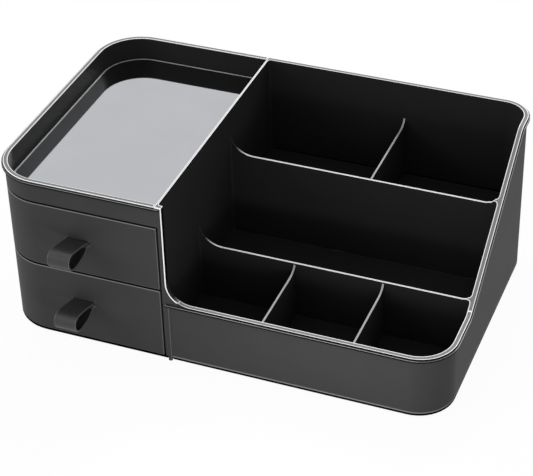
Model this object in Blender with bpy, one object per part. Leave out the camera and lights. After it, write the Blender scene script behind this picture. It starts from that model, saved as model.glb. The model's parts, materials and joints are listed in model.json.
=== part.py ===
"""A cologne organizer: a two-drawer cabinet with a shallow tray on top, beside three stepped tiers.

Metres, +Z up, +X to the right of someone facing it, -Y towards them. The origin is on the surface
it stands on, under the middle of its width and of its whole depth, pulls and rolled edge included.
"""

import math

import bmesh
import bpy
from mathutils import Matrix, Vector

# The body: the outer face of the walls, without the rim
BODY_WIDTH = 0.300
BODY_DEPTH = 0.189
BODY_HEIGHT = 0.1174
LEFT_CORNER_RADIUS = 0.030
FRONT_RIGHT_RADIUS = 0.024
BACK_RIGHT_RADIUS = 0.018

# Walls, and the gap that neighbouring pieces keep
FIT_GAP = 0.0003
SHELL_WALL = 0.0012
LINER_WALL = 0.0008
LINER_FLOOR = 0.0015
BASE_THICKNESS = 0.0015
CUT_OVERRUN = 0.004

# The rim: the liners' lip, and the rolled edge of the shell and the front frame that stands out below it
LIP_OVERHANG = 0.0007
LIP_THICKNESS = 0.0008
EDGE_STAND = 0.0018
EDGE_HEIGHT = 0.0012

# The cabinet on the left, measured from the body's left face to the middle of the partition
CABINET_WIDTH = 0.115
PARTITION_WALL = 0.0013
POST_OFFSET = 0.0006
POST_FOOT_WIDTH = 0.0013
OPENING_OFFSET = 0.0040
TRAY_DEPTH = 0.0162
MIRROR_THICKNESS = 0.0012

# The wide opening over the tiers: its low front edge, and the slope of the right side
FRONT_RIM_HEIGHT = 0.0451
OPENING_FILLET = 0.015
SLOPE_START = 0.0500
SLOPE_END = 0.1589
SLOPE_BLEND = 0.012

# The rolled edge at the left end of the front skirt, with the tab that locates the base plate
BEAD_WIDTH = 0.0026
BEAD_STAND = 0.0008
TAB_DROP = 0.0009

# The tiers from front to back: distances behind the body's front face, heights above its underside
LOW_WALL_DISTANCE = 0.0588
LOW_WALL_HEIGHT = 0.0505
HIGH_WALL_DISTANCE = 0.1150
HIGH_WALL_HEIGHT = 0.0858
STEP_WALL = 0.0013
FRONT_FLOOR_HEIGHT = 0.009
MIDDLE_FLOOR_HEIGHT = 0.024
BACK_FLOOR_HEIGHT = 0.046
WALL_LEFT_FILLET = 0.016
LOW_WALL_RIGHT_FILLET = 0.005
HIGH_WALL_RIGHT_FILLET = 0.008
POCKET_RADIUS = 0.002

# The upright dividers in the tiers, placed by shares of the way from the partition to the right side
DIVIDER_WALL = 0.0012
DIVIDER_RUN = 0.0100
DIVIDER_RISE = 0.0048
FRONT_DIVIDER_SHARES = (0.365, 0.690)
BACK_DIVIDER_SHARE = 0.538

# The band over the drawers, the lower drawer's share of what is left, and the bay behind the fronts
BAND_HEIGHT = 0.0161
LOWER_DRAWER_SHARE = 0.527
LINE_GAP = 0.0013
FRONT_SIDE_GAP = 0.0014
FRONT_RETURN = 0.0024
CASE_WALL = 0.0015
SHELF_THICKNESS = 0.0014
LEDGE_REACH = 0.0020
LEDGE_THICKNESS = 0.0015

# The drawers
BOX_WALL = 0.0015
BOX_FLOOR = 0.0015
BOX_SIDE_GAP = 0.0005
BOX_BACK_GAP = 0.0030
BOX_TOP_DROP = 0.0045
BOX_BACK_RADIUS = 0.006

# The leather pulls: one strap folded into a loop, its two ends held behind a plate in the drawer
PULL_REACH = 0.0596
PULL_DROP = 0.0224
PULL_WIDTH = 0.015
PULL_LENGTH = 0.0269
PULL_HEIGHT = 0.0117
STRAP_THICKNESS = 0.0012
STRAP_TAIL = 0.0040
PLATE_WIDTH = 0.022
PLATE_HEIGHT = 0.016
PLATE_THICKNESS = 0.0015

# The foot pads
FOOT_THICKNESS = 0.0012
FOOT_RADIUS = 0.006
FOOT_INSET = 0.021

# How finely arcs are cut
FINE_RADIUS = 0.009
FINE_STEP = math.radians(7.5)
COARSE_STEP = math.radians(30.0)
ROUND_SIDES = 20
SMOOTH_ANGLE = math.radians(35.0)

# The middle line of a pull's loop, as shares of its length out and of its height up
LOOP_SHARES = (
    (0.17, 0.19),
    (0.39, 0.33),
    (0.65, 0.48),
    (0.84, 0.53),
    (0.96, 0.39),
    (1.00, 0.10),
    (0.94, -0.22),
    (0.80, -0.42),
    (0.61, -0.47),
    (0.39, -0.42),
    (0.19, -0.30),
)

# Places that follow from the sizes above
BEYOND = EDGE_STAND + CUT_OVERRUN
LEFT = -BODY_WIDTH / 2
RIGHT = BODY_WIDTH / 2
PULL_STAND = PULL_LENGTH + STRAP_THICKNESS / 2
BODY_MIDDLE = (PULL_STAND - EDGE_STAND) / 2
FRONT = BODY_MIDDLE - BODY_DEPTH / 2
BACK = BODY_MIDDLE + BODY_DEPTH / 2
UNDERSIDE = FOOT_THICKNESS + FIT_GAP
BASE_TOP = UNDERSIDE + BASE_THICKNESS
WALL_FOOT = BASE_TOP + FIT_GAP
RIM_TOP = UNDERSIDE + BODY_HEIGHT
FRONT_RIM_TOP = UNDERSIDE + FRONT_RIM_HEIGHT
LIP_CLEARANCE = LIP_THICKNESS + FIT_GAP
LINER_INSET = SHELL_WALL + FIT_GAP
POCKET_INSET = LINER_INSET + LINER_WALL
PARTITION = LEFT + CABINET_WIDTH
PARTITION_LEFT = PARTITION - PARTITION_WALL / 2
PARTITION_RIGHT = PARTITION + PARTITION_WALL / 2
OPENING_LEFT = PARTITION + OPENING_OFFSET
POST_LEFT = PARTITION + POST_OFFSET
POST_FOOT_RIGHT = POST_LEFT + POST_FOOT_WIDTH
SKIRT_LEFT = POST_FOOT_RIGHT + FIT_GAP
SKIRT_TOP = FRONT_RIM_TOP - LIP_CLEARANCE
WEB_RIGHT = OPENING_LEFT + OPENING_FILLET
TRAY_LINE = RIM_TOP - BAND_HEIGHT
SHELF_LINE = UNDERSIDE + (TRAY_LINE - UNDERSIDE) * LOWER_DRAWER_SHARE
MIRROR_TOP = RIM_TOP - TRAY_DEPTH
TRAY_FLOOR_TOP = MIRROR_TOP - MIRROR_THICKNESS - FIT_GAP
TRAY_FLOOR_BOTTOM = TRAY_FLOOR_TOP - LINER_FLOOR
TRAY_RIGHT = PARTITION_LEFT - FIT_GAP
LOW_WALL_BACK = FRONT + LOW_WALL_DISTANCE + STEP_WALL
HIGH_WALL_BACK = FRONT + HIGH_WALL_DISTANCE + STEP_WALL
FRONT_SEAM = FRONT + LEFT_CORNER_RADIUS + FRONT_RETURN
DRAWER_FRONT_RIGHT = POST_LEFT - FRONT_SIDE_GAP
CASE_FRONT = FRONT + LINER_INSET
CASE_LEFT = LEFT + LINER_INSET
CASE_RIGHT = PARTITION_LEFT - FIT_GAP
CASE_BACK = BACK - LINER_INSET
BAY_LEFT = CASE_LEFT + CASE_WALL
BAY_RIGHT = CASE_RIGHT - CASE_WALL
BAY_BACK = CASE_BACK - CASE_WALL
CASE_CORNER = LEFT_CORNER_RADIUS - LINER_INSET
SHELF_BOTTOM = SHELF_LINE - SHELF_THICKNESS / 2
SHELF_TOP = SHELF_LINE + SHELF_THICKNESS / 2
LEDGE_TOP = SHELF_BOTTOM - FIT_GAP
LEDGE_BOTTOM = LEDGE_TOP - LEDGE_THICKNESS
PULL_CENTRE = LEFT + PULL_REACH
LAYER_OFFSET = (STRAP_THICKNESS + FIT_GAP) / 2
SLOT_HALF_HEIGHT = LAYER_OFFSET + STRAP_THICKNESS / 2 + FIT_GAP
SLOT_HALF_WIDTH = PULL_WIDTH / 2 + FIT_GAP
PLATE_FRONT = CASE_FRONT + BOX_WALL + FIT_GAP
PLATE_BACK = PLATE_FRONT + PLATE_THICKNESS

# Finishes: colour, roughness and metallic value
CHARCOAL = ((0.050, 0.051, 0.052, 1), 0.42, 0)
BLACK = ((0.012, 0.012, 0.012, 1), 0.35, 0)
GRAPHITE = ((0.030, 0.030, 0.031, 1), 0.50, 0)
LEATHER = ((0.055, 0.056, 0.055, 1), 0.62, 0)
SILVER = ((0.60, 0.61, 0.63, 1), 0.06, 1)
STEEL = ((0.42, 0.42, 0.43, 1), 0.35, 1)
RUBBER = ((0.020, 0.020, 0.020, 1), 0.85, 0)


def clear_scene():
    for item in list(bpy.data.objects):
        bpy.data.objects.remove(item)


def rounded(points, radii):
    """The closed outline through these corners, each corner turned into an arc of its own radius."""
    outline = []
    for index, (point, radius) in enumerate(zip(points, radii)):
        corner = Vector(point)
        if radius <= 0:
            outline.append(corner)
            continue
        before = (Vector(points[index - 1]) - corner).normalized()
        after = (Vector(points[(index + 1) % len(points)]) - corner).normalized()
        half = before.angle(after) / 2
        centre = corner + (before + after).normalized() * radius / math.sin(half)
        start = corner + before * radius / math.tan(half) - centre
        end = corner + after * radius / math.tan(half) - centre
        turn = math.pi - 2 * half
        across = (end - start * math.cos(turn)) / math.sin(turn)
        step_angle = FINE_STEP if radius > FINE_RADIUS else COARSE_STEP
        steps = max(2, round(turn / step_angle))
        for step in range(steps + 1):
            angle = turn * step / steps
            outline.append(centre + start * math.cos(angle) + across * math.sin(angle))
    return outline


def rectangle(left, right, front, back, radii=(0, 0, 0, 0)):
    """A rectangle in plan, with radii at its front right, back right, back left and front left."""
    corners = ((right, front), (right, back), (left, back), (left, front))
    return rounded(corners, radii)


def body_outline(inset):
    """The body's outline in plan, drawn in by a distance."""
    radii = (FRONT_RIGHT_RADIUS, BACK_RIGHT_RADIUS, LEFT_CORNER_RADIUS, LEFT_CORNER_RADIUS)
    return rectangle(
        LEFT + inset, RIGHT - inset, FRONT + inset, BACK - inset, [radius - inset for radius in radii]
    )


def prism(name, outline, low, high, axis="Z"):
    """A solid from an outline: in plan for Z, seen from the front for Y, and from the right for X."""
    place = {
        "X": lambda a, b, c: (c, a, b),
        "Y": lambda a, b, c: (a, c, b),
        "Z": lambda a, b, c: (a, b, c),
    }[axis]
    shape = bmesh.new()
    face = shape.faces.new([shape.verts.new(place(a, b, low)) for a, b in outline])
    grown = bmesh.ops.extrude_face_region(shape, geom=[face])["geom"]
    moved = [item for item in grown if isinstance(item, bmesh.types.BMVert)]
    bmesh.ops.translate(shape, verts=moved, vec=place(0, 0, high - low))
    bmesh.ops.recalc_face_normals(shape, faces=shape.faces)
    mesh = bpy.data.meshes.new(name)
    shape.to_mesh(mesh)
    shape.free()
    piece = bpy.data.objects.new(name, mesh)
    bpy.context.scene.collection.objects.link(piece)
    return piece


def block(name, left, right, front, back, low, high):
    return prism(name, rectangle(left, right, front, back), low, high)


def combine(piece, tool, operation):
    """Joins the tool to the piece, cuts it away or keeps what they share, and removes the tool."""
    modifier = piece.modifiers.new(tool.name, "BOOLEAN")
    modifier.object = tool
    modifier.operation = operation
    graph = bpy.context.evaluated_depsgraph_get()
    mesh = bpy.data.meshes.new_from_object(piece.evaluated_get(graph))
    piece.modifiers.remove(modifier)
    old = piece.data
    name = old.name
    piece.data = mesh
    bpy.data.meshes.remove(old)
    bpy.data.objects.remove(tool)
    mesh.name = name


def cut(piece, *tools):
    for tool in tools:
        combine(piece, tool, "DIFFERENCE")


def join(piece, *tools):
    for tool in tools:
        combine(piece, tool, "UNION")


def keep(piece, *tools):
    for tool in tools:
        combine(piece, tool, "INTERSECT")


def wall_ring(name, inset, thickness, low, high):
    """A wall that follows the whole body outline."""
    ring = prism(name, body_outline(inset), low, high)
    cut(ring, prism("inside", body_outline(inset + thickness), low - CUT_OVERRUN, high + CUT_OVERRUN))
    return ring


def over_front(left, low):
    """Corners of what lies over a height and to the right of a line, seen from the front."""
    right = RIGHT + BEYOND
    high = RIM_TOP + CUT_OVERRUN
    return ((left, low), (right, low), (right, high), (left, high))


def front_opening(offset):
    """What the opening over the tiers takes out of the front, grown by an offset."""
    corners = over_front(OPENING_LEFT - offset, FRONT_RIM_TOP - offset)
    outline = rounded(corners, (OPENING_FILLET + offset, 0, 0, 0))
    return prism("front opening", outline, FRONT - BEYOND, FRONT + POCKET_INSET + CUT_OVERRUN, "Y")


def side_opening(offset):
    """What lies above the right side, low at the front and sloping up to the back, grown by an offset."""
    start = Vector((FRONT + SLOPE_START, FRONT_RIM_TOP))
    end = Vector((FRONT + SLOPE_END, RIM_TOP))
    run = (end - start).normalized()
    # The slope moves square to itself, so where it meets the level stretches shifts along them
    shift = offset * (1 - run.x) / run.y
    front = FRONT - BEYOND
    back = BACK + BEYOND
    low = FRONT_RIM_TOP - offset
    high = RIM_TOP - offset
    top = RIM_TOP + CUT_OVERRUN
    corners = (
        (front, low),
        (start.x + shift, low),
        (end.x + shift, high),
        (back, high),
        (back, top),
        (front, top),
    )
    outline = rounded(corners, (0, SLOPE_BLEND + offset, SLOPE_BLEND - offset, 0, 0, 0))
    return prism("side opening", outline, RIGHT - FRONT_RIGHT_RADIUS - CUT_OVERRUN, RIGHT + BEYOND, "X")


def below(offset, opening):
    """All that lies lower than the rim by an offset, beside an opening in the front."""
    wide = BEYOND + CUT_OVERRUN
    room = block("below", LEFT - wide, RIGHT + wide, FRONT - wide, BACK + wide, -wide, RIM_TOP - offset)
    cut(room, opening, side_opening(offset))
    return room


def under_rim(offset):
    """All that lies under the rim, whose fillet leads from the post down to the skirt."""
    return below(offset, front_opening(offset))


def under_edge(offset):
    """The same without the fillet: the rolled edge runs straight on to the skirt's left end."""
    outline = over_front(SKIRT_LEFT, FRONT_RIM_TOP - offset)
    return below(offset, prism("over the skirt", outline, FRONT - BEYOND, FRONT + POCKET_INSET + CUT_OVERRUN, "Y"))


def rolled_edge():
    """The edge that stands out from the wall's top, just below the lip."""
    edge = wall_ring("rolled edge", -EDGE_STAND, EDGE_STAND + SHELL_WALL / 2, WALL_FOOT, RIM_TOP)
    keep(edge, under_edge(LIP_CLEARANCE))
    cut(edge, under_edge(LIP_CLEARANCE + EDGE_HEIGHT))
    return edge


def finish(piece, look):
    """Gives a piece its material and smooth shading on its rounds."""
    colour, roughness, metallic = look
    material = bpy.data.materials.new(piece.name)
    material.diffuse_color = colour
    material.use_nodes = True
    shader = material.node_tree.nodes["Principled BSDF"]
    shader.inputs["Base Color"].default_value = colour
    shader.inputs["Roughness"].default_value = roughness
    shader.inputs["Metallic"].default_value = metallic
    piece.data.materials.clear()
    piece.data.materials.append(material)
    piece.data.shade_smooth()
    piece.data.set_sharp_from_angle(angle=SMOOTH_ANGLE)
    return piece


def make_foot_pads():
    """Four pads under the corners, inset as far as the roundest corner needs."""
    for side, x in (("left", LEFT + FOOT_INSET), ("right", RIGHT - FOOT_INSET)):
        for end, y in (("front", FRONT + FOOT_INSET), ("back", BACK - FOOT_INSET)):
            turns = [2 * math.pi * step / ROUND_SIDES for step in range(ROUND_SIDES)]
            outline = [(x + FOOT_RADIUS * math.cos(turn), y + FOOT_RADIUS * math.sin(turn)) for turn in turns]
            finish(prism(f"foot_pad_{end}_{side}", outline, 0, FOOT_THICKNESS), RUBBER)


def make_base_plate():
    """The plate under everything, notched for the skirt's tab."""
    plate = prism("base_plate", body_outline(0), UNDERSIDE, BASE_TOP)
    notch = block(
        "tab notch",
        SKIRT_LEFT - FIT_GAP,
        SKIRT_LEFT + BEAD_WIDTH + FIT_GAP,
        FRONT - CUT_OVERRUN,
        FRONT + SHELL_WALL / 2 + FIT_GAP,
        UNDERSIDE - CUT_OVERRUN,
        BASE_TOP + CUT_OVERRUN,
    )
    cut(plate, notch)
    finish(plate, BLACK)


def make_outer_shell():
    """The wrap: left side, back, sloping right side and the low skirt across the front."""
    shell = wall_ring("outer_shell", 0, SHELL_WALL, WALL_FOOT, RIM_TOP)
    keep(shell, under_rim(LIP_CLEARANCE))
    join(shell, rolled_edge())
    beyond_left = LEFT - BEYOND
    beyond_top = RIM_TOP + CUT_OVERRUN
    cabinet_front = (
        (beyond_left, 0),
        (SKIRT_LEFT, 0),
        (SKIRT_LEFT, SKIRT_TOP),
        (WEB_RIGHT, SKIRT_TOP),
        (WEB_RIGHT, beyond_top),
        (beyond_left, beyond_top),
    )
    cut(shell, prism("cabinet front", cabinet_front, FRONT - BEYOND, FRONT_SEAM, "Y"))
    bead = rectangle(
        SKIRT_LEFT,
        SKIRT_LEFT + BEAD_WIDTH,
        FRONT - BEAD_STAND,
        FRONT + SHELL_WALL / 2,
        (BEAD_STAND, 0, 0, BEAD_STAND),
    )
    join(shell, prism("bead", bead, UNDERSIDE - TAB_DROP, SKIRT_TOP))
    finish(shell, CHARCOAL)


def make_front_frame():
    """The band over the drawers, the post beside them, and the web that fills the opening's corner."""
    frame = wall_ring("front_frame", 0, SHELL_WALL, WALL_FOOT, RIM_TOP)
    keep(frame, under_rim(LIP_CLEARANCE))
    join(frame, rolled_edge())
    beyond_left = LEFT - BEYOND
    beyond_top = RIM_TOP + CUT_OVERRUN
    band_bottom = TRAY_LINE + LINE_GAP / 2
    web_bottom = SKIRT_TOP + FIT_GAP
    outline = (
        (beyond_left, band_bottom),
        (POST_LEFT, band_bottom),
        (POST_LEFT, 0),
        (POST_FOOT_RIGHT, 0),
        (POST_FOOT_RIGHT, web_bottom),
        (WEB_RIGHT, web_bottom),
        (WEB_RIGHT, beyond_top),
        (beyond_left, beyond_top),
    )
    keep(frame, prism("frame front", outline, FRONT - BEYOND, FRONT_SEAM - FIT_GAP, "Y"))
    finish(frame, CHARCOAL)


def make_tray_liner():
    """The shallow tray over the drawers: floor, three walls and the lip that hangs on the shell."""
    liner = prism("tray_liner", body_outline(LINER_INSET), TRAY_FLOOR_BOTTOM, RIM_TOP - LIP_THICKNESS / 2)
    join(liner, prism("lip", body_outline(-LIP_OVERHANG), RIM_TOP - LIP_THICKNESS, RIM_TOP))
    cut(liner, prism("tray", body_outline(POCKET_INSET), TRAY_FLOOR_TOP, RIM_TOP + CUT_OVERRUN))
    tier_side = block("tier side", TRAY_RIGHT, RIGHT + BEYOND, FRONT - BEYOND, BACK + BEYOND, 0, RIM_TOP + BEYOND)
    cut(liner, tier_side)
    finish(liner, BLACK)

    inset = POCKET_INSET + FIT_GAP
    corner = LEFT_CORNER_RADIUS - inset
    outline = rectangle(LEFT + inset, TRAY_RIGHT, FRONT + inset, BACK - inset, (0, 0, corner, corner))
    finish(prism("tray_mirror", outline, MIRROR_TOP - MIRROR_THICKNESS, MIRROR_TOP), SILVER)


def tier_pocket(front, back, floor, corner_radii):
    """The room of one tier, open upwards."""
    outline = rectangle(PARTITION_RIGHT, RIGHT - POCKET_INSET, front, back, corner_radii)
    return prism("pocket", outline, floor, RIM_TOP + CUT_OVERRUN)


def over_wall(back, height, right_fillet):
    """What lies over a step wall, whose top curves up into the partition and the right side."""
    low = UNDERSIDE + height
    high = RIM_TOP + CUT_OVERRUN
    left, right = PARTITION_RIGHT, RIGHT - POCKET_INSET
    corners = ((left, low), (right, low), (right, high), (left, high))
    outline = rounded(corners, (WALL_LEFT_FILLET, right_fillet, 0, 0))
    return prism("over wall", outline, back - STEP_WALL - CUT_OVERRUN, back + CUT_OVERRUN, "Y")


def under_floor(front, floor_top):
    """The hollow under a tier's floor."""
    back_right = BACK_RIGHT_RADIUS - POCKET_INSET
    outline = rectangle(
        PARTITION_RIGHT, RIGHT - POCKET_INSET, front, BACK - POCKET_INSET, (0, back_right, 0, 0)
    )
    return prism("under floor", outline, UNDERSIDE, floor_top - LINER_FLOOR)


def make_tier_liner():
    """The stepped inner moulding: partition, three floors, two step walls, outer walls and lip."""
    front_floor = UNDERSIDE + FRONT_FLOOR_HEIGHT
    middle_floor = UNDERSIDE + MIDDLE_FLOOR_HEIGHT
    back_floor = UNDERSIDE + BACK_FLOOR_HEIGHT
    right_radii = (FRONT_RIGHT_RADIUS, BACK_RIGHT_RADIUS)

    def plan(inset):
        radii = [radius - inset for radius in right_radii]
        return rectangle(PARTITION_LEFT, RIGHT - inset, FRONT + inset, BACK - inset, (*radii, 0, 0))

    liner = prism("tier_liner", plan(LINER_INSET), front_floor - LINER_FLOOR, RIM_TOP + CUT_OVERRUN)
    lip = prism("lip", plan(-LIP_OVERHANG), SKIRT_TOP - CUT_OVERRUN, RIM_TOP + 2 * CUT_OVERRUN)
    cut(lip, under_rim(LIP_THICKNESS))
    join(liner, lip)
    keep(liner, under_rim(0))

    front_corner = FRONT_RIGHT_RADIUS - POCKET_INSET
    back_corner = BACK_RIGHT_RADIUS - POCKET_INSET
    small = POCKET_RADIUS
    low_front, high_front = LOW_WALL_BACK - STEP_WALL, HIGH_WALL_BACK - STEP_WALL
    cut(
        liner,
        tier_pocket(FRONT + POCKET_INSET, low_front, front_floor, (front_corner, small, small, small)),
        tier_pocket(LOW_WALL_BACK, high_front, middle_floor, (small, small, small, small)),
        tier_pocket(HIGH_WALL_BACK, BACK - POCKET_INSET, back_floor, (small, back_corner, small, small)),
        over_wall(LOW_WALL_BACK, LOW_WALL_HEIGHT, LOW_WALL_RIGHT_FILLET),
        over_wall(HIGH_WALL_BACK, HIGH_WALL_HEIGHT, HIGH_WALL_RIGHT_FILLET),
        under_floor(LOW_WALL_BACK, middle_floor),
        under_floor(HIGH_WALL_BACK, back_floor),
    )
    finish(liner, BLACK)


def make_divider(name, share, front, back, floor, top):
    """An upright divider whose top edge curves up against the wall behind it."""
    near, far, foot = front + FIT_GAP, back - FIT_GAP, floor + FIT_GAP
    outline = [Vector((near, top)), Vector((near, foot)), Vector((far, foot))]
    centre = Vector((far - DIVIDER_RUN, top + DIVIDER_RISE))
    steps = round(math.pi / 2 / FINE_STEP)
    for step in range(steps + 1):
        turn = math.pi / 2 * step / steps
        outline.append(centre + Vector((DIVIDER_RUN * math.cos(turn), -DIVIDER_RISE * math.sin(turn))))
    x = PARTITION + (RIGHT - POCKET_INSET - PARTITION) * share
    finish(prism(name, outline, x - DIVIDER_WALL / 2, x + DIVIDER_WALL / 2, "X"), BLACK)


def make_dividers():
    low_front = LOW_WALL_BACK - STEP_WALL
    for number, share in enumerate(FRONT_DIVIDER_SHARES, start=1):
        make_divider(
            f"front_divider_{number}",
            share,
            FRONT + POCKET_INSET,
            low_front,
            UNDERSIDE + FRONT_FLOOR_HEIGHT,
            FRONT_RIM_TOP - FIT_GAP,
        )
    make_divider(
        "back_divider",
        BACK_DIVIDER_SHARE,
        HIGH_WALL_BACK,
        BACK - POCKET_INSET,
        UNDERSIDE + BACK_FLOOR_HEIGHT,
        UNDERSIDE + HIGH_WALL_HEIGHT,
    )


def make_drawer_case():
    """The bay's two sides and back, with the ledge that carries the shelf between the drawers."""
    top = TRAY_FLOOR_BOTTOM - FIT_GAP
    outline = rectangle(CASE_LEFT, CASE_RIGHT, CASE_FRONT, CASE_BACK, (0, 0, CASE_CORNER, 0))
    case = prism("drawer_case", outline, WALL_FOOT, top)

    def room(inset, low, high):
        corner = CASE_CORNER - CASE_WALL - inset
        plan = rectangle(
            BAY_LEFT + inset, BAY_RIGHT - inset, CASE_FRONT - CUT_OVERRUN, BAY_BACK - inset, (0, 0, corner, 0)
        )
        return prism("bay", plan, low, high)

    cut(
        case,
        room(LEDGE_REACH, UNDERSIDE, RIM_TOP),
        room(0, LEDGE_TOP, RIM_TOP),
        room(0, UNDERSIDE, LEDGE_BOTTOM),
    )
    corner_room = block(
        "front corner",
        LEFT - CUT_OVERRUN,
        BAY_LEFT + LEDGE_REACH + CUT_OVERRUN,
        CASE_FRONT - CUT_OVERRUN,
        FRONT_SEAM,
        0,
        RIM_TOP,
    )
    cut(case, corner_room)
    finish(case, GRAPHITE)

    corner = CASE_CORNER - CASE_WALL - FIT_GAP
    shelf = rectangle(
        BAY_LEFT + FIT_GAP, BAY_RIGHT - FIT_GAP, CASE_FRONT, BAY_BACK - FIT_GAP, (0, 0, corner, corner)
    )
    finish(prism("drawer_shelf", shelf, SHELF_BOTTOM, SHELF_TOP), GRAPHITE)


def smooth_line(points, steps):
    """Points along a smooth curve that passes through the given ones."""
    line = [points[0]]
    for index in range(len(points) - 1):
        a = points[max(index - 1, 0)]
        b, c = points[index], points[index + 1]
        d = points[min(index + 2, len(points) - 1)]
        for step in range(1, steps + 1):
            t = step / steps
            line.append(
                b + t * (c - a) / 2 + t * t * (a - 5 * b / 2 + 2 * c - d / 2) + t**3 * (3 * (b - c) + d - a) / 2
            )
    return line


def strap_outline(line, thickness):
    """The outline of a strap of one thickness that follows a line."""
    sides = ([], [])
    for index, point in enumerate(line):
        before = (point - line[index - 1]).normalized() if index else None
        after = (line[index + 1] - point).normalized() if index + 1 < len(line) else None
        along = ((before or after) + (after or before)).normalized()
        stretch = along.dot(after or before)
        across = Vector((-along.y, along.x)) * thickness / 2 / stretch
        sides[0].append(point + across)
        sides[1].append(point - across)
    return sides[0] + sides[1][::-1]


def make_pull(name, height):
    """The folded strap: out through the slot, round the loop, and back to its spread ends."""
    def layer(sign):
        tail = PLATE_BACK + FIT_GAP + STRAP_THICKNESS / 2
        return [
            Vector((tail, height + sign * (LAYER_OFFSET + STRAP_TAIL))),
            Vector((tail, height + sign * LAYER_OFFSET)),
        ]

    mouth = FRONT - STRAP_THICKNESS / 2
    loop = [Vector((mouth, height + LAYER_OFFSET))]
    for out_share, up_share in LOOP_SHARES:
        loop.append(Vector((FRONT - PULL_LENGTH * out_share, height + PULL_HEIGHT * up_share)))
    loop.append(Vector((mouth, height - LAYER_OFFSET)))
    line = layer(1) + smooth_line(loop, 2) + layer(-1)[::-1]
    outline = strap_outline(line, STRAP_THICKNESS)
    return prism(name, outline, PULL_CENTRE - PULL_WIDTH / 2, PULL_CENTRE + PULL_WIDTH / 2, "X")


def pull_slot(height):
    """The slot that both layers of the strap pass through."""
    return block(
        "pull slot",
        PULL_CENTRE - SLOT_HALF_WIDTH,
        PULL_CENTRE + SLOT_HALF_WIDTH,
        FRONT - CUT_OVERRUN,
        PLATE_BACK + CUT_OVERRUN,
        height - SLOT_HALF_HEIGHT,
        height + SLOT_HALF_HEIGHT,
    )


def make_drawer_box(name, low, high, height):
    """The open box: its front follows the rounded corner that the drawer front wraps."""
    left, right = BAY_LEFT + BOX_SIDE_GAP, BAY_RIGHT - BOX_SIDE_GAP
    back = BAY_BACK - BOX_BACK_GAP
    back_left = CASE_CORNER - CASE_WALL

    def plan(inset):
        radii = (BOX_BACK_RADIUS, BOX_BACK_RADIUS, back_left, CASE_CORNER)
        return rectangle(
            left + inset,
            right - inset,
            CASE_FRONT + inset,
            back - inset,
            [radius - inset for radius in radii],
        )

    box = prism(name, plan(0), low, high)
    cut(box, prism("inside", plan(BOX_WALL), low + BOX_FLOOR, high + CUT_OVERRUN), pull_slot(height))
    return finish(box, BLACK)


def make_drawer_front(name, low, high, height):
    """The front, bent round the cabinet's left corner."""
    front = wall_ring(name, 0, SHELL_WALL, low, high)
    reach = block(
        "front reach",
        LEFT - CUT_OVERRUN,
        DRAWER_FRONT_RIGHT,
        FRONT - CUT_OVERRUN,
        FRONT_SEAM - LINE_GAP,
        low - CUT_OVERRUN,
        high + CUT_OVERRUN,
    )
    keep(front, reach)
    cut(front, pull_slot(height))
    return finish(front, CHARCOAL)


def make_pull_plate(name, height):
    """The plate inside the drawer that the strap's spread ends bear on."""
    plate = block(
        name,
        PULL_CENTRE - PLATE_WIDTH / 2,
        PULL_CENTRE + PLATE_WIDTH / 2,
        PLATE_FRONT,
        PLATE_BACK,
        height - PLATE_HEIGHT / 2,
        height + PLATE_HEIGHT / 2,
    )
    cut(plate, pull_slot(height))
    return finish(plate, STEEL)


def make_drawer(name, front_low, front_high, box_low, box_high):
    """One drawer, its pieces held by an empty on the line that it slides along."""
    height = front_high - PULL_DROP
    axis = bpy.data.objects.new(f"{name}_slide", None)
    axis.location = (PULL_CENTRE, FRONT, height)
    bpy.context.scene.collection.objects.link(axis)
    pieces = (
        make_drawer_box(f"{name}_box", box_low, box_high, height),
        make_drawer_front(f"{name}_front", front_low, front_high, height),
        finish(make_pull(f"{name}_pull", height), LEATHER),
        make_pull_plate(f"{name}_pull_plate", height),
    )
    for piece in pieces:
        piece.parent = axis
        piece.matrix_parent_inverse = Matrix.Translation(-axis.location)


def make_drawers():
    half_line = LINE_GAP / 2
    make_drawer(
        "lower_drawer",
        WALL_FOOT,
        SHELF_LINE - half_line,
        BASE_TOP + FIT_GAP,
        SHELF_BOTTOM - BOX_TOP_DROP,
    )
    make_drawer(
        "upper_drawer",
        SHELF_LINE + half_line,
        TRAY_LINE - half_line,
        SHELF_TOP + FIT_GAP,
        TRAY_FLOOR_BOTTOM - BOX_TOP_DROP,
    )


def main():
    clear_scene()
    make_foot_pads()
    make_base_plate()
    make_outer_shell()
    make_front_frame()
    make_tray_liner()
    make_tier_liner()
    make_dividers()
    make_drawer_case()
    make_drawers()


main()
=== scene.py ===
# %% [markdown]
# # A cologne organizer with two drawers
#
# This file dresses a finished construction model. The model arrives as a fixed frame: every piece
# has its real size and place, and the two drawers know how they slide. What is left to do here is
# the finish of each surface, the soft edges that catch the light and carry a painted highlight, the
# leather of the pulls, and a plain studio to look at it in.
#
# The frame is loaded first and never moved, and its box is kept.

import json
import math

import bmesh
import bpy
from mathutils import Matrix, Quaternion, Vector


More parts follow.
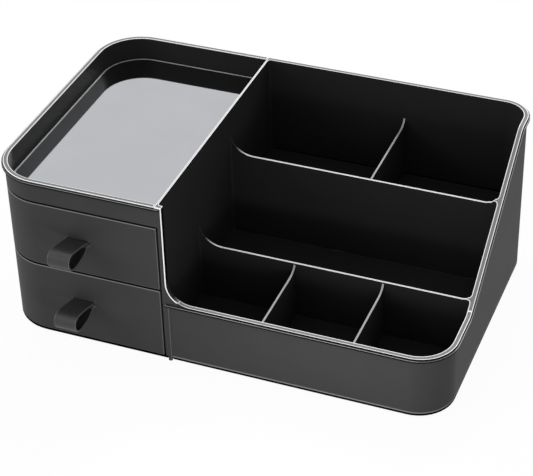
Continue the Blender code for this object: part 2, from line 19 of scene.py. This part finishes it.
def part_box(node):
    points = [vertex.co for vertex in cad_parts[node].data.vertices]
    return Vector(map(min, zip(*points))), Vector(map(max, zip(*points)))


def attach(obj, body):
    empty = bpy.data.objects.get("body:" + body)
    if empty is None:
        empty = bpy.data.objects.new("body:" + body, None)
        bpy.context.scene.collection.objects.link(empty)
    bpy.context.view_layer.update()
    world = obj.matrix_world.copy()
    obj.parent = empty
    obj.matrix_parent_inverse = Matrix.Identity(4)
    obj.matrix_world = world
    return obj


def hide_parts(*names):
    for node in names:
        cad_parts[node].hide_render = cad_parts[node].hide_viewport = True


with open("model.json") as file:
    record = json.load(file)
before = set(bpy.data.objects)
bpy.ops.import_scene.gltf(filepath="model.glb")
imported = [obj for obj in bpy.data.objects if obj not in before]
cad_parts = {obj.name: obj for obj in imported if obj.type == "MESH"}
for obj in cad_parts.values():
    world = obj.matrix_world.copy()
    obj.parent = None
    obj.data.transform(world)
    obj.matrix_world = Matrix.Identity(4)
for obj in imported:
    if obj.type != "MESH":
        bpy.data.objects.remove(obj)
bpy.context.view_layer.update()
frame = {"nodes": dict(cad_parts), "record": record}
print("nodes in the frame:", len(frame["nodes"]))

# %% [markdown]
# ## Camera
#
# The product picture was taken from the right, a little above the rim, with a long lens. The
# camera is described the way a photographer would: how far round it stands, how high, how far
# away, and how much it is tilted. The lens is given in picture widths, and a small shift moves the
# optical centre, because the picture is a crop.

# %% Camera
PICTURE_WIDTH, PICTURE_HEIGHT = 533, 476
CAMERA_AZIMUTH = math.radians(22.196)
CAMERA_ELEVATION = math.radians(34.953)
CAMERA_ROLL = math.radians(-1.541)
CAMERA_DISTANCE = 1.1675
CAMERA_AIM = Vector((0, 0.01284, 0.0615))
FOCAL_PIXELS = 1782.2
OPTICAL_CENTRE = (268.25, 211.39)
SENSOR_WIDTH = 36


def make_camera():
    """A camera that stands round the object by an azimuth and above it by an elevation."""
    level = math.cos(CAMERA_ELEVATION)
    back = Vector((
        math.sin(CAMERA_AZIMUTH) * level,
        -math.cos(CAMERA_AZIMUTH) * level,
        math.sin(CAMERA_ELEVATION),
    ))
    lens = bpy.data.cameras.new("camera")
    lens.sensor_fit = "HORIZONTAL"
    lens.sensor_width = SENSOR_WIDTH
    lens.lens = FOCAL_PIXELS * SENSOR_WIDTH / PICTURE_WIDTH
    lens.shift_x = (PICTURE_WIDTH / 2 - OPTICAL_CENTRE[0]) / PICTURE_WIDTH
    lens.shift_y = (OPTICAL_CENTRE[1] - PICTURE_HEIGHT / 2) / PICTURE_WIDTH
    camera = bpy.data.objects.new("camera", lens)
    camera.location = CAMERA_AIM + back * CAMERA_DISTANCE
    camera.rotation_mode = "QUATERNION"
    level_turn = (-back).to_track_quat("-Z", "Y")
    camera.rotation_quaternion = level_turn @ Quaternion((0, 0, 1), CAMERA_ROLL)
    bpy.context.scene.collection.objects.link(camera)
    bpy.context.scene.camera = camera
    return camera


camera = make_camera()
print("camera at", tuple(round(value, 3) for value in camera.location))

# %% [markdown]
# ## Writing shaders as sums
#
# A finish is a small calculation: so much grain, a little more shine and a painted highlight on an
# edge, a painted darker shade inside. Node by node that is hard to read, so one small class wraps a
# socket, and the usual signs add the Math nodes. Every other node comes from one method, which
# takes the node's type, its settings and what goes into its sockets. Colours stay colours,
# because they only pass through Mix nodes.

# %% Sockets that can be calculated with
class Wire:
    """The output of a node. Sums, differences and products of wires add Math nodes to its tree."""

    def __init__(self, tree, socket):
        self.tree = tree
        self.socket = socket

    def calculate(self, operation, first, second):
        settings = {"operation": operation}
        return self.tree.node("ShaderNodeMath", settings, {0: first, 1: second})

    def __add__(self, other):
        return self.calculate("ADD", self, other)

    def __sub__(self, other):
        return self.calculate("SUBTRACT", self, other)

    def __rsub__(self, other):
        return self.calculate("SUBTRACT", other, self)

    def __mul__(self, other):
        return self.calculate("MULTIPLY", self, other)

    __radd__ = __add__
    __rmul__ = __mul__


class Tree:
    """The nodes of a material or of the world."""

    def __init__(self, owner):
        owner.use_nodes = True
        self.nodes = owner.node_tree.nodes
        self.links = owner.node_tree.links

    def fill(self, node, sockets):
        """Joins wires to a node's sockets, and writes plain values on them."""
        for name, value in sockets.items():
            if isinstance(value, Wire):
                self.links.new(value.socket, node.inputs[name])
            else:
                node.inputs[name].default_value = value

    def node(self, kind, settings=None, sockets=None, output=0):
        """Adds a node, sets it, fills its sockets, and returns one of its outputs."""
        node = self.nodes.new(kind)
        for name, value in (settings or {}).items():
            setattr(node, name, value)
        self.fill(node, sockets or {})
        return Wire(self, node.outputs[output])


print("sockets can be added, subtracted and multiplied")

# %% [markdown]
# ## The studio
#
# The picture has a white background and hardly a shadow. A white that comes from more light would
# also bleach the object, so the white is painted in instead: rays that come from the camera, or
# that are mirrored or passed on by the object, see a plain white, while the light that falls on
# the object stays at an ordinary level. The floor mixes that white with its own pale paint, which
# still takes the object's shadow.

# %% White background and floor
FLOOR_SIZE = 6.0
FLOOR_PAINT = (0.80, 0.80, 0.80, 1)
FLOOR_WHITE_SHARE = 0.95
ROOM_LIGHT = 0.55


def seen_directly(tree):
    """One for rays from the camera, and for those that are mirrored or let through."""
    rays = ("Is Camera Ray", "Is Glossy Ray", "Is Transmission Ray")
    direct, mirrored, passed = (tree.node("ShaderNodeLightPath", output=name) for name in rays)
    return direct + mirrored + passed


def make_room():
    world = bpy.data.worlds.new("studio")
    tree = Tree(world)
    strength = seen_directly(tree) * (1 - ROOM_LIGHT) + ROOM_LIGHT
    tree.fill(tree.nodes["Background"], {"Color": (1, 1, 1, 1), "Strength": strength})
    bpy.context.scene.world = world


def make_floor():
    shape = bmesh.new()
    bmesh.ops.create_grid(shape, x_segments=1, y_segments=1, size=FLOOR_SIZE / 2)
    mesh = bpy.data.meshes.new("floor")
    shape.to_mesh(mesh)
    shape.free()
    floor = bpy.data.objects.new("floor", mesh)
    bpy.context.scene.collection.objects.link(floor)
    material = bpy.data.materials.new("floor paint")
    tree = Tree(material)
    tree.nodes.remove(tree.nodes["Principled BSDF"])
    paint = tree.node("ShaderNodeBsdfDiffuse", sockets={"Color": FLOOR_PAINT})
    white = tree.node("ShaderNodeEmission", sockets={"Strength": 1.0})
    share = seen_directly(tree) * FLOOR_WHITE_SHARE
    surface = tree.node("ShaderNodeMixShader", sockets={0: share, 1: paint, 2: white})
    tree.fill(tree.nodes["Material Output"], {"Surface": surface})
    mesh.materials.append(material)


make_room()
make_floor()
bpy.context.scene.view_settings.view_transform = "Standard"
print("floor", FLOOR_SIZE, "m wide")

# %% [markdown]
# ## Light
#
# Dark plastic shows its shape by what it mirrors, and its edges by what their rounding mirrors
# and by the highlight painted on them.
# Two soft boxes stand behind the object. The low one on the right draws the bright lines on the
# edges that run from front to back, and the high one on the left draws those that run from side
# to side. Both keep clear of the direction that the flat tray mirrors into the camera, so the
# mirror shows the plain room. A third one at the front left shapes the rounded corner, and a
# small, weak one stands low in front of the skirt. The camera doesn't see the lamps themselves.

# %% Soft boxes
def make_soft_box(name, place, size, power):
    """A rectangular lamp that is turned towards the object."""
    lamp = bpy.data.lights.new(name, "AREA")
    lamp.shape = "RECTANGLE"
    lamp.size, lamp.size_y = size
    lamp.energy = power
    box = bpy.data.objects.new(name, lamp)
    box.location = place
    box.rotation_mode = "QUATERNION"
    box.rotation_quaternion = (CAMERA_AIM - Vector(place)).to_track_quat("-Z", "Y")
    box.visible_camera = False
    bpy.context.scene.collection.objects.link(box)


SOFT_BOXES = (
    ("right box behind", (0.09, 1.37, 1.16), (0.5, 0.35), 11),
    ("left box behind", (-0.56, 0.85, 1.50), (0.9, 0.35), 9),
    ("corner box", (-1.30, -0.70, 0.70), (0.8, 1.0), 9),
    ("skirt box", (0.10, -0.24, 0.06), (0.08, 0.04), 0.14),
)
for soft_box in SOFT_BOXES:
    make_soft_box(*soft_box)
print("soft boxes:", len(SOFT_BOXES))

# %% [markdown]
# ## Finishes
#
# Each finish is a Principled shader with a little life in it: clouds that shift its colour by a
# hair, and a grain that only the light finds. All patterns read the object's own coordinates in
# metres, so a size in the code is a size on the object. Later on the rounded edges get an
# attribute named edge, and the finishes read it: a moulded edge is smoother than the textured
# faces beside it, and it is painted paler as a highlight.

# %% A finish to start from
class Finish(Tree):
    """A material with one Principled shader, and the patterns that feed it."""

    def __init__(self, name, **constants):
        self.material = bpy.data.materials.new(name)
        super().__init__(self.material)
        self.shader = self.nodes["Principled BSDF"]
        self.feed({socket.replace("_", " "): value for socket, value in constants.items()})
        self.place = self.node("ShaderNodeTexCoord", output="Object")
        self.edge = self.attribute("edge")

    def attribute(self, name):
        """A value from 0 to 1 that is stored on the faces of a mesh."""
        return self.node("ShaderNodeAttribute", {"attribute_name": name}, output="Fac")

    def feed(self, sockets):
        """Joins wires or writes values to the shader's sockets."""
        self.fill(self.shader, sockets)

    def noise(self, size, detail=2.0):
        """A soft noise from 0 to 1 whose blobs are about this many metres across."""
        sockets = {"Vector": self.place, "Scale": 1 / size, "Detail": detail}
        return self.node("ShaderNodeTexNoise", sockets=sockets, output="Fac")

    def bump(self, height, depth):
        """A normal from a height of 0 to 1 that stands for a depth in metres."""
        return self.node("ShaderNodeBump", sockets={"Height": height, "Distance": depth})

    def blend(self, share, first, second):
        """A colour on the way from one colour to another."""
        return self.node("ShaderNodeMix", {"data_type": "RGBA"}, {0: share, 6: first, 7: second}, 2)


def grey(value):
    return (value, value, value, 1)


print("finish helpers ready")

# %% [markdown]
# Nearly everything is moulded plastic. The mould leaves a fine, even texture on it, and one recipe
# with a few numbers serves the charcoal shell, the black mouldings and the hidden pieces.

# %% Moulded plastics
def make_plastic(name, tone, painted_highlight_tone, roughness, gloss):
    """Moulded plastic: faint clouds in its colour, a fine even texture, smoother edges with a
    painted highlight, painted black shade in gaps.
    """
    finish = Finish(name, Specular_IOR_Level=gloss)
    clouds = finish.noise(0.02)
    grain = finish.noise(0.0006, detail=3.0)
    skin = finish.blend(clouds, grey(tone * 0.92), grey(tone * 1.08))
    # The second mark paints chosen faces near black: painted shade in the gaps and under the lip.
    face = finish.blend(finish.attribute("painted_shade"), skin, grey(0.001))
    uneven = roughness + 0.06 * (clouds - 0.5) + 0.10 * (grain - 0.5)
    finish.feed({
        # The edge mark blends in a pale tone: a painted highlight on the rounded edges.
        "Base Color": finish.blend(finish.edge, face, grey(painted_highlight_tone)),
        "Roughness": uneven * (1 - 0.35 * finish.edge),
        "Normal": finish.bump(grain * (1 - finish.edge), 0.00003),
    })
    return finish.material


# The second number of each plastic is the tone of its rounded edges, a painted highlight.
PLASTICS = {
    "shell_plastic": make_plastic("shell plastic", 0.045, 0.40, 0.58, 0.08),
    "liner_plastic": make_plastic("liner plastic", 0.017, 0.95, 0.50, 0.04),
    "base_plastic": make_plastic("base plastic", 0.002, 0.004, 0.60, 0.0),
    "case_plastic": make_plastic("case plastic", 0.012, 0.04, 0.50, 0.30),
    "drawer_plastic": make_plastic("drawer plastic", 0.008, 0.04, 0.48, 0.30),
}
print("plastics:", ", ".join(PLASTICS))

# %% [markdown]
# The mirror on the tray's floor could be glass over silver, but one smooth metal looks the same.
# Its ground border is matte and painted pale as a highlight along the mirror's edge. The steel
# plates carry long scratches: a noise that is squeezed.

# %% Mirror and brushed steel
def make_mirror():
    """A silvered plate with a ground edge that is painted pale as a highlight."""
    finish = Finish("tray mirror")
    haze = finish.noise(0.03)
    silver = finish.blend(haze, (0.46, 0.47, 0.49, 1), (0.50, 0.51, 0.53, 1))
    finish.feed({
        "Base Color": finish.blend(finish.edge, silver, grey(0.85)),
        "Metallic": 1 - finish.edge,
        "Roughness": 0.02 + 0.03 * haze + 0.4 * finish.edge,
    })
    return finish.material


def make_brushed_steel():
    """Steel with fine lines along its width."""
    finish = Finish("plate steel", Metallic=1.0)
    squeeze = {"Vector": finish.place, "Scale": (60, 1, 9000)}
    squeezed = finish.node("ShaderNodeMapping", sockets=squeeze)
    pattern = {"Vector": squeezed, "Scale": 1.0}
    lines = finish.node("ShaderNodeTexNoise", sockets=pattern, output="Fac")
    finish.feed({
        "Base Color": finish.blend(lines, grey(0.50), grey(0.62)),
        "Roughness": 0.25 + 0.2 * lines,
        "Normal": finish.bump(lines, 0.00001),
    })
    return finish.material


METALS = {"tray_mirror": make_mirror(), "plate_steel": make_brushed_steel()}
print("metals:", ", ".join(METALS))

# %% [markdown]
# The leather's skin is a field of tiny pebbles, which a smooth Voronoi pattern draws by itself.
# The foot pads are matte rubber with a dusty grain.

# %% Leather and rubber
def make_leather():
    """Smooth dark leather with fine pebbles, with painted black shade inside the loop and a painted
    highlight on its cut edges.
    """
    finish = Finish("pull leather", Specular_IOR_Level=0.45)
    inside = finish.attribute("inside")
    cells = {"Vector": finish.place, "Scale": 1 / 0.0009}
    pebbles = finish.node("ShaderNodeTexVoronoi", {"feature": "SMOOTH_F1"}, cells, "Distance")
    fibres = finish.noise(0.0004, detail=3.0)
    blotches = finish.noise(0.005)
    outside = finish.blend(blotches, grey(0.018), grey(0.030))
    # Painted shade: the faces inside the loop are painted nearly black.
    faces = finish.blend(inside, outside, grey(0.003))
    finish.feed({
        # Painted highlight: the cut edges are painted paler.
        "Base Color": finish.blend(finish.edge, faces, grey(0.12)),
        "Roughness": 0.42 + 0.12 * pebbles + 0.10 * blotches,
        "Normal": finish.bump(pebbles + 0.3 * fibres, 0.00012),
    })
    return finish.material


def make_rubber():
    """Matte rubber with a dusty grain."""
    finish = Finish("foot rubber", Specular_IOR_Level=0.3)
    grain = finish.noise(0.0005, detail=4.0)
    finish.feed({
        "Base Color": finish.blend(grain, grey(0.010), grey(0.018)),
        "Roughness": 0.75 + 0.15 * grain,
        "Normal": finish.bump(grain, 0.00004),
    })
    return finish.material


SOFT_FINISHES = {"pull_leather": make_leather(), "foot_rubber": make_rubber()}
FINISHES = {**PLASTICS, **METALS, **SOFT_FINISHES}
print("finishes:", ", ".join(FINISHES))

# %% [markdown]
# ## Soft edges
#
# No moulded edge is truly sharp, and on black plastic the rounding is all that the eye sees of an
# edge: a thin bright line. So each piece of the frame gets a twin with rounded edges. The twin
# starts as a copy, its loose triangles are merged and flat neighbours joined, and then every edge
# that turns by more than a set angle is beveled. The new faces are marked for the finishes with a
# paleness, a painted highlight: one is a bright line, nothing is as dark as the plastic, less than
# nothing is painted black as shade.
#
# The top of a thin wall is called a ridge. It gets a pale border as a painted highlight, while a
# thin face that looks sideways lies in a gap and is painted black as shade.

# %% Round the edges of a copy
MERGE_DISTANCE = 0.000002
FLAT_ANGLE = math.radians(1.0)
EDGE_ANGLE = math.radians(31.0)
RIDGE_WIDTH = 0.0032
TOP_SHARP_SHARE = 0.2
SIDE_SHARP_SHARE = 0.4
RIDGE_BORDER = 0.0005


def copy_shape(node):
    """The node's mesh in a bmesh, its triangles merged into plain faces."""
    shape = bmesh.new()
    shape.from_mesh(frame["nodes"][node].data)
    bmesh.ops.remove_doubles(shape, verts=shape.verts, dist=MERGE_DISTANCE)
    bmesh.ops.dissolve_limit(
        shape,
        angle_limit=FLAT_ANGLE,
        verts=shape.verts,
        edges=shape.edges,
        use_dissolve_boundaries=False,
    )
    return shape


def is_sharp(edge):
    return len(edge.link_faces) == 2 and edge.calc_face_angle() > EDGE_ANGLE


def looks_up(face):
    return face.normal.z > 0.05


def is_ridge(face, sharp):
    """True for the narrow top of a wall or a lip: a thin face with sharp edges along it."""
    round_it = sum(edge.calc_length() for edge in face.edges)
    along_sharp = sum(edge.calc_length() for edge in face.edges if edge in sharp)
    width = 2 * face.calc_area() / round_it
    least_share = TOP_SHARP_SHARE if looks_up(face) else SIDE_SHARP_SHARE
    return width < RIDGE_WIDTH and along_sharp > round_it * least_share


def mark_ridges(shape, paleness, ridge_share):
    """Gives the narrow tops a pale border as a painted highlight, and paints the narrow sides black
    as shade.
    """
    mark = shape.faces.layers.float["edge"]
    painted_shade_mark = shape.faces.layers.float["painted_shade"]
    sharp = {edge for edge in shape.edges if is_sharp(edge)}
    ridges = [face for face in shape.faces if is_ridge(face, sharp)]
    tops = [face for face in ridges if looks_up(face)]
    for face in ridges:
        face[painted_shade_mark] = 1.0
    if ridge_share < 0:
        return
    for face in tops:
        face[mark] = ridge_share * paleness(face)
        face[painted_shade_mark] = 0.0
    if tops:
        border = bmesh.ops.inset_region(
            shape, faces=tops, thickness=RIDGE_BORDER, use_even_offset=True, use_boundary=True
        )
        for face in border["faces"]:
            face[mark] = paleness(face)
            face[painted_shade_mark] = 0.0


def round_edges(shape, radius, paleness, ridge_share, segments=3):
    """Bevels the sharp edges and marks their painted highlight, where less than nothing is painted
    black shade.
    """
    mark = shape.faces.layers.float.new("edge")
    painted_shade_mark = shape.faces.layers.float.new("painted_shade")
    mark_ridges(shape, paleness, ridge_share)
    edges = [edge for edge in shape.edges if is_sharp(edge)]
    rounded = bmesh.ops.bevel(
        shape,
        geom=edges,
        offset=radius,
        offset_type="OFFSET",
        affect="EDGES",
        segments=segments,
        profile=0.5,
        clamp_overlap=True,
        material=-1,
    )
    shape.normal_update()
    for face in rounded["faces"]:
        face[mark] = max(paleness(face), 0.0)
        face[painted_shade_mark] = 1.0 if paleness(face) < 0 else 0.0
    return len(edges)


print("edges that turn more than", round(math.degrees(EDGE_ANGLE)), "degrees are rounded")

# %% [markdown]
# A twin rides on the same body as its node, so it slides along when a drawer opens. Weighted
# normals keep its large faces flat and let only the narrow ones turn.

# %% Put a piece in the scene
BODIES = frame["record"]["behaviour"]["bodies"]
BODY_OF = {node: body for body, nodes in BODIES.items() for node in nodes}
SLOT_OF = {part["node"]: part["material_slot"] for part in frame["record"]["subparts"]}


def add_twin(node, shape):
    """Makes the bmesh an object with the node's finish and body, and hides the node."""
    mesh = bpy.data.meshes.new(f"{node}_twin")
    shape.to_mesh(mesh)
    shape.free()
    mesh.shade_smooth()
    mesh.materials.append(FINISHES[SLOT_OF[node]])
    twin = bpy.data.objects.new(mesh.name, mesh)
    bpy.context.scene.collection.objects.link(twin)
    weights = twin.modifiers.new("flat faces stay flat", "WEIGHTED_NORMAL")
    weights.keep_sharp = True
    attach(twin, BODY_OF[node])
    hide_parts(node)
    return twin


print("bodies:", ", ".join(BODIES))

# %% [markdown]
# ## Which edges are pale
#
# The lip around the top gets the brightest painted highlight. The seams further down are painted
# only a little paler than the faces beside them. So each piece says how wide its rounding is and
# how pale, and on the outer shell the rolled edge under the lip, which stands out from the walls,
# is told from the rest by its place.

# %% Where an edge is pale
BODY_LEFT, BODY_RIGHT = -0.150, 0.150
BODY_DEPTH = 0.189
FRONT_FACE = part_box("lower_drawer_front")[0][1]
BACK_FACE = FRONT_FACE + BODY_DEPTH
STANDS_OUT = 0.0009


def upper_edges(bright, low):
    """A painted highlight, bright on the edges that look up, and low on the others."""
    return lambda face: bright if face.normal.z > 0.1 else low


def shell_edges(face):
    """A full painted highlight on the top of the rolled edge, which stands out from the walls, a
    faint one elsewhere, and painted black shade below.
    """
    if face.normal.z < -0.3:
        return -1.0
    place = face.calc_center_median()
    beyond = max(
        BODY_LEFT - place.x,
        place.x - BODY_RIGHT,
        FRONT_FACE - place.y,
        place.y - BACK_FACE,
    )
    if beyond > STANDS_OUT:
        return 1.0 if face.normal.z > 0.1 else 0.0
    return 0.5


def frame_edges(face):
    """The same painted highlight over the drawers, where it is fainter, and painted black shade
    under the band.
    """
    return -1.0 if face.normal.z < -0.2 else 0.6 * shell_edges(face)


def drawer_edges(face):
    """A painted highlight along the front, and painted black shade where the edge turns into the gap
    beside it.
    """
    if max(face.normal.x, face.normal.z) > 0.8:
        return -1.0
    return 0.45 if face.normal.z > 0.15 else 0.2


def opening_edges(face):
    """A full painted highlight on edges that look up or forward, none on those that look sideways or
    down.
    """
    if face.normal.z < -0.2:
        return 0.0
    if face.normal.x > 0.25 and abs(face.normal.y) < 0.3:
        return min(max((face.normal.z - 0.7) / 0.3, 0.0), 1.0)
    if face.normal.x < -0.2 and face.normal.z < 0.5:
        return 0.1
    return 1.0


print("the body's front face is at", round(FRONT_FACE, 5))

# %% [markdown]
# Some painted highlight lines lie on no rounded edge. A finish that follows a height needs an edge
# in the mesh there, so the copy is cut level first, and the faces of the strip are found by place
# and direction.

# %% Cut and mark a strip
def cut_level(shape, height):
    """Divides the faces at a height, so that a finish can change there."""
    whole = [*shape.verts, *shape.edges, *shape.faces]
    bmesh.ops.bisect_plane(
        shape, geom=whole, dist=MERGE_DISTANCE, plane_co=(0, 0, height), plane_no=(0, 0, 1)
    )


def mark_strip(shape, belongs, value):
    """Gives the faces that belong to a strip one paleness, a painted highlight."""
    mark = shape.faces.layers.float["edge"]
    painted_shade_mark = shape.faces.layers.float["painted_shade"]
    strip = [face for face in shape.faces if belongs(face)]
    for face in strip:
        face[mark] = value
        face[painted_shade_mark] = 0.0
    return len(strip)


print("strips can be cut and marked")

# %% [markdown]
# ## The rim and the dividers
#
# Each of these pieces is a row: how wide its rounding is in metres, which rule says how pale an
# edge gets, and what share of that paleness the middle of a ridge keeps.

# %% Twins of the rim and the dividers
def round_node(node, radius, paleness, ridge_share):
    shape = copy_shape(node)
    count = round_edges(shape, radius, paleness, ridge_share)
    twin = add_twin(node, shape)
    print(f"{node}: {count} edges rounded, {len(twin.data.polygons)} faces")


RIM_PIECES = {
    "front_frame": (0.00040, frame_edges, 0.0),
    "tray_liner": (0.00035, upper_edges(1.0, 0.0), 0.2),
    "front_divider_1": (0.00035, upper_edges(0.5, 0.1), 0.3),
    "front_divider_2": (0.00035, upper_edges(0.5, 0.1), 0.3),
    "back_divider": (0.00035, upper_edges(0.5, 0.1), 0.3),
}
for node, (radius, paleness, ridge_share) in RIM_PIECES.items():
    round_node(node, radius, paleness, ridge_share)

# %% The foot of the outer shell
SHELL_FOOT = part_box("front_frame")[0][2]
FOOT_LINE = 0.0010
OPENING_SIDE = -0.0160
SKIRT_TOP = 0.0455


def is_foot_line(face):
    """The lowest strip of the walls, where they roll in over the base, but not the small tab."""
    place = face.calc_center_median()
    return SHELL_FOOT - FOOT_LINE / 2 < place.z < SHELL_FOOT + FOOT_LINE and abs(face.normal.z) < 0.3


def is_bead_line(face):
    """The side of the upright bead beside the drawers that turns towards the skirt."""
    place = face.calc_center_median()
    on_bead = place.x < OPENING_SIDE and place.y < FRONT_FACE and place.z < SKIRT_TOP
    return on_bead and face.normal.x > 0.5 and face.normal.y < -0.5


def make_outer_shell():
    shape = copy_shape("outer_shell")
    cut_level(shape, SHELL_FOOT + FOOT_LINE)
    round_edges(shape, 0.00040, shell_edges, 0.0)
    # Painted highlights: the foot line and the side of the bead are painted paler.
    count = mark_strip(shape, is_foot_line, 0.4) + mark_strip(shape, is_bead_line, 0.3)
    add_twin("outer_shell", shape)
    print("faces in the foot line and the bead's line:", count)


make_outer_shell()

# %% [markdown]
# The stepped moulding's lip runs down beside the drawers as a narrow upright face. The rule for
# ridges would paint it black as shade, though it carries the brightest painted highlight, so it is
# cut off and marked by itself.

# %% The lip beside the opening
OPENING_FOOT = 0.0486


def is_upright_lip(face):
    """The narrow front of the lip where it runs down beside the drawers."""
    place = face.calc_center_median()
    beside = place.x < OPENING_SIDE and place.y < FRONT_FACE and place.z > OPENING_FOOT
    return beside and face.normal.y < -0.5


def make_tier_liner():
    shape = copy_shape("tier_liner")
    cut_level(shape, OPENING_FOOT)
    round_edges(shape, 0.00035, opening_edges, 0.22)
    # Painted highlight: the upright lip is painted fully pale.
    count = mark_strip(shape, is_upright_lip, 1.0)
    add_twin("tier_liner", shape)
    print("faces in the upright lip:", count)


make_tier_liner()

# %% [markdown]
# The mirror's sides hide in the moulding, so its twin has no rounding, only the ground border that
# the inset operator sets into its upper face and that is painted pale as a highlight.

# %% Twin of the mirror
MIRROR_BORDER = 0.0012


def make_mirror_plate():
    """The plate with a ground border on its upper face, painted pale as a highlight."""
    shape = copy_shape("tray_mirror")
    mark = shape.faces.layers.float.new("edge")
    top = max(shape.faces, key=lambda face: face.calc_center_median().z)
    border = bmesh.ops.inset_region(
        shape, faces=[top], thickness=MIRROR_BORDER, use_even_offset=True, use_boundary=True
    )
    for face in border["faces"]:
        face[mark] = 1.0
    twin = add_twin("tray_mirror", shape)
    print("mirror:", len(twin.data.polygons), "faces")


make_mirror_plate()

# %% [markdown]
# What lies lower or further in has quieter painted highlights on its edges, and the narrow faces of
# the case, the shelf and the drawer fronts are painted black as shade in the gaps. The drawer fronts
# have the widest rounding, which makes the dark line between them a little wider.

# %% Twins of the base and the drawers
LOWER_PIECES = {
    "base_plate": (0.00040, upper_edges(0.0, 0.0), 0.0),
    "drawer_case": (0.00030, upper_edges(0.0, 0.0), -1.0),
    "drawer_shelf": (0.00030, upper_edges(0.0, 0.0), -1.0),
    "lower_drawer_box": (0.00035, upper_edges(0.4, 0.2), 0.4),
    "upper_drawer_box": (0.00035, upper_edges(0.4, 0.2), 0.4),
    "lower_drawer_front": (0.00080, drawer_edges, -1.0),
    "upper_drawer_front": (0.00080, drawer_edges, -1.0),
    "lower_drawer_pull_plate": (0.00030, upper_edges(0.5, 0.3), 0.0),
    "upper_drawer_pull_plate": (0.00030, upper_edges(0.5, 0.3), 0.0),
    "foot_pad_front_left": (0.00030, upper_edges(0.0, 0.0), 0.0),
    "foot_pad_front_right": (0.00030, upper_edges(0.0, 0.0), 0.0),
    "foot_pad_back_left": (0.00030, upper_edges(0.0, 0.0), 0.0),
    "foot_pad_back_right": (0.00030, upper_edges(0.0, 0.0), 0.0),
}
for node, (radius, paleness, ridge_share) in LOWER_PIECES.items():
    round_node(node, radius, paleness, ridge_share)

# %% [markdown]
# ## The leather pulls
#
# Each pull is one strap folded into a loop. The outside is the smooth side of the leather, the
# inside is the rough flesh side, painted nearly black as the shade inside the loop, and the cut
# edges are painted paler as a highlight. The inner faces are found by their direction: they look
# towards the middle of the loop.

# %% Pulls
CUT_EDGE_RADIUS = 0.00035
LOOP_MIDDLE = 0.009


def mark_inside(shape, middle):
    """Marks the faces that look towards a point on the loop's middle line."""
    mark = shape.faces.layers.float.new("inside")
    for face in shape.faces:
        face.normal_update()
        outward = face.calc_center_median() - middle
        outward.x = 0
        face[mark] = 1.0 if face.normal.dot(outward) < 0 and abs(face.normal.x) < 0.5 else 0.0


def make_pull(node):
    low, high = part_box(node)
    shape = copy_shape(node)
    middle = Vector(((low[0] + high[0]) / 2, low[1] + LOOP_MIDDLE, (low[2] + high[2]) / 2))
    mark_inside(shape, middle)
    # The cut edges get a painted highlight all round.
    round_edges(shape, CUT_EDGE_RADIUS, upper_edges(0.8, 0.8), 0.5)
    pull = add_twin(node, shape)
    print(f"{node}: {len(pull.data.polygons)} faces")


for node in ("lower_drawer_pull", "upper_drawer_pull"):
    make_pull(node)
